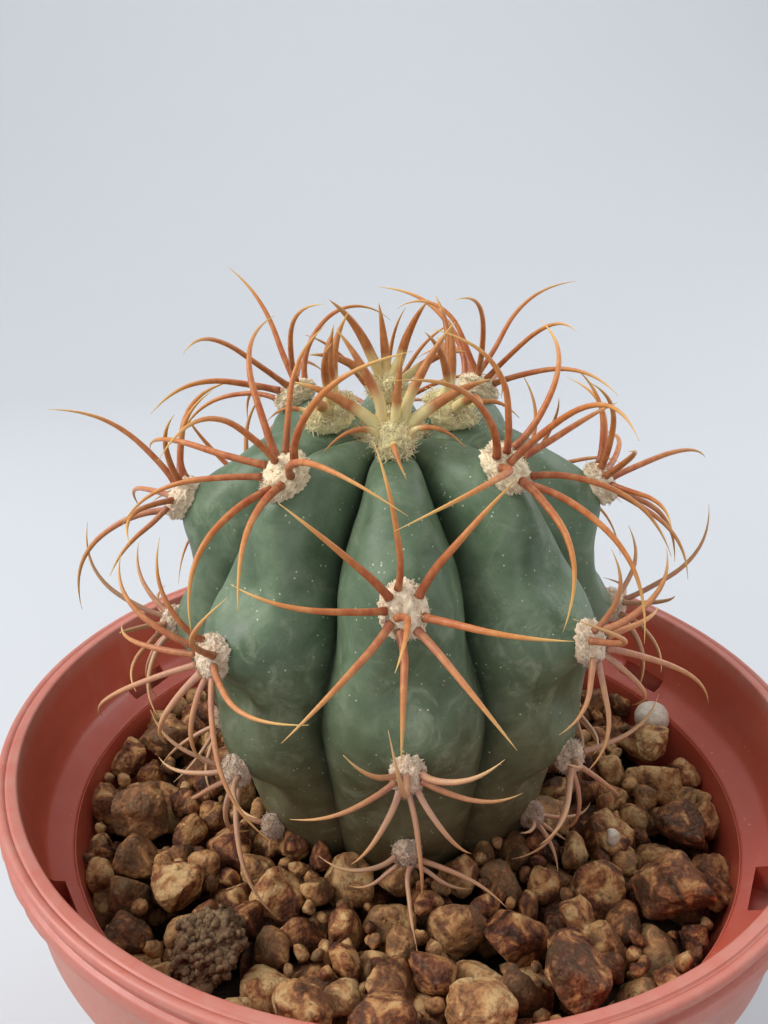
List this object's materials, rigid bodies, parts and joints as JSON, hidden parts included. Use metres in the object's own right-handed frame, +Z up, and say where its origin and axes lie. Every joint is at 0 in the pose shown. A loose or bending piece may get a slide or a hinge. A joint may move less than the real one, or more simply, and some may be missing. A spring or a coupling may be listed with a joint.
{
  "type": "potted cactus",
  "caption": "Round ribbed cactus with woolly areoles and long curved spines, in a tapered plastic nursery pot top dressed with coarse gravel.",
  "frame": {"origin": "centre of the pot's foot ring, on the surface that the pot stands on", "axes": "+Z up the pot, -Y towards the front, +X to the right seen from the front"},
  "size_m": [0.12, 0.12, 0.1576],
  "materials": {
    "pot": "satin",
    "potting_mix": "matte",
    "gravel": "matte",
    "soil": "matte",
    "bead": "matte",
    "stem": "satin",
    "spines": "satin"
  },
  "bodies": {
    "root": {"areole_back_1": "spines", "areole_back_2": "spines", "areole_back_3": "spines", "areole_back_5": "spines", "areole_back_left_1": "spines", "areole_back_left_2": "spines", "areole_back_left_3": "spines", "areole_back_left_4": "spines", "areole_back_right_1": "spines", "areole_back_right_2": "spines", "areole_back_right_3": "spines", "areole_back_right_4": "spines", "areole_front_1": "spines", "areole_front_2": "spines", "areole_front_3": "spines", "areole_front_5": "spines", "areole_front_left_1": "spines", "areole_front_left_2": "spines", "areole_front_left_3": "spines", "areole_front_left_4": "spines", "areole_front_right_1": "spines", "areole_front_right_2": "spines", "areole_front_right_3": "spines", "areole_front_right_4": "spines", "areole_left_1": "spines", "areole_left_2": "spines", "areole_left_3": "spines", "areole_left_5": "spines", "areole_right_1": "spines", "areole_right_2": "spines", "areole_right_3": "spines", "areole_right_5": "spines", "gravel_bed": "gravel", "pot": "pot", "potting_mix": "potting_mix", "soil_clump": "soil", "stem": "stem", "stone_back": "gravel", "stone_back_left": "gravel", "stone_front": "gravel", "stone_front_2": "gravel", "stone_front_left": "gravel", "stone_front_left_2": "gravel", "stone_front_right": "gravel", "stone_left": "gravel", "stone_left_back": "gravel", "stone_right": "gravel", "stone_right_2": "gravel", "stone_right_back": "gravel", "white_bead": "bead"}
  },
  "joints": []
}
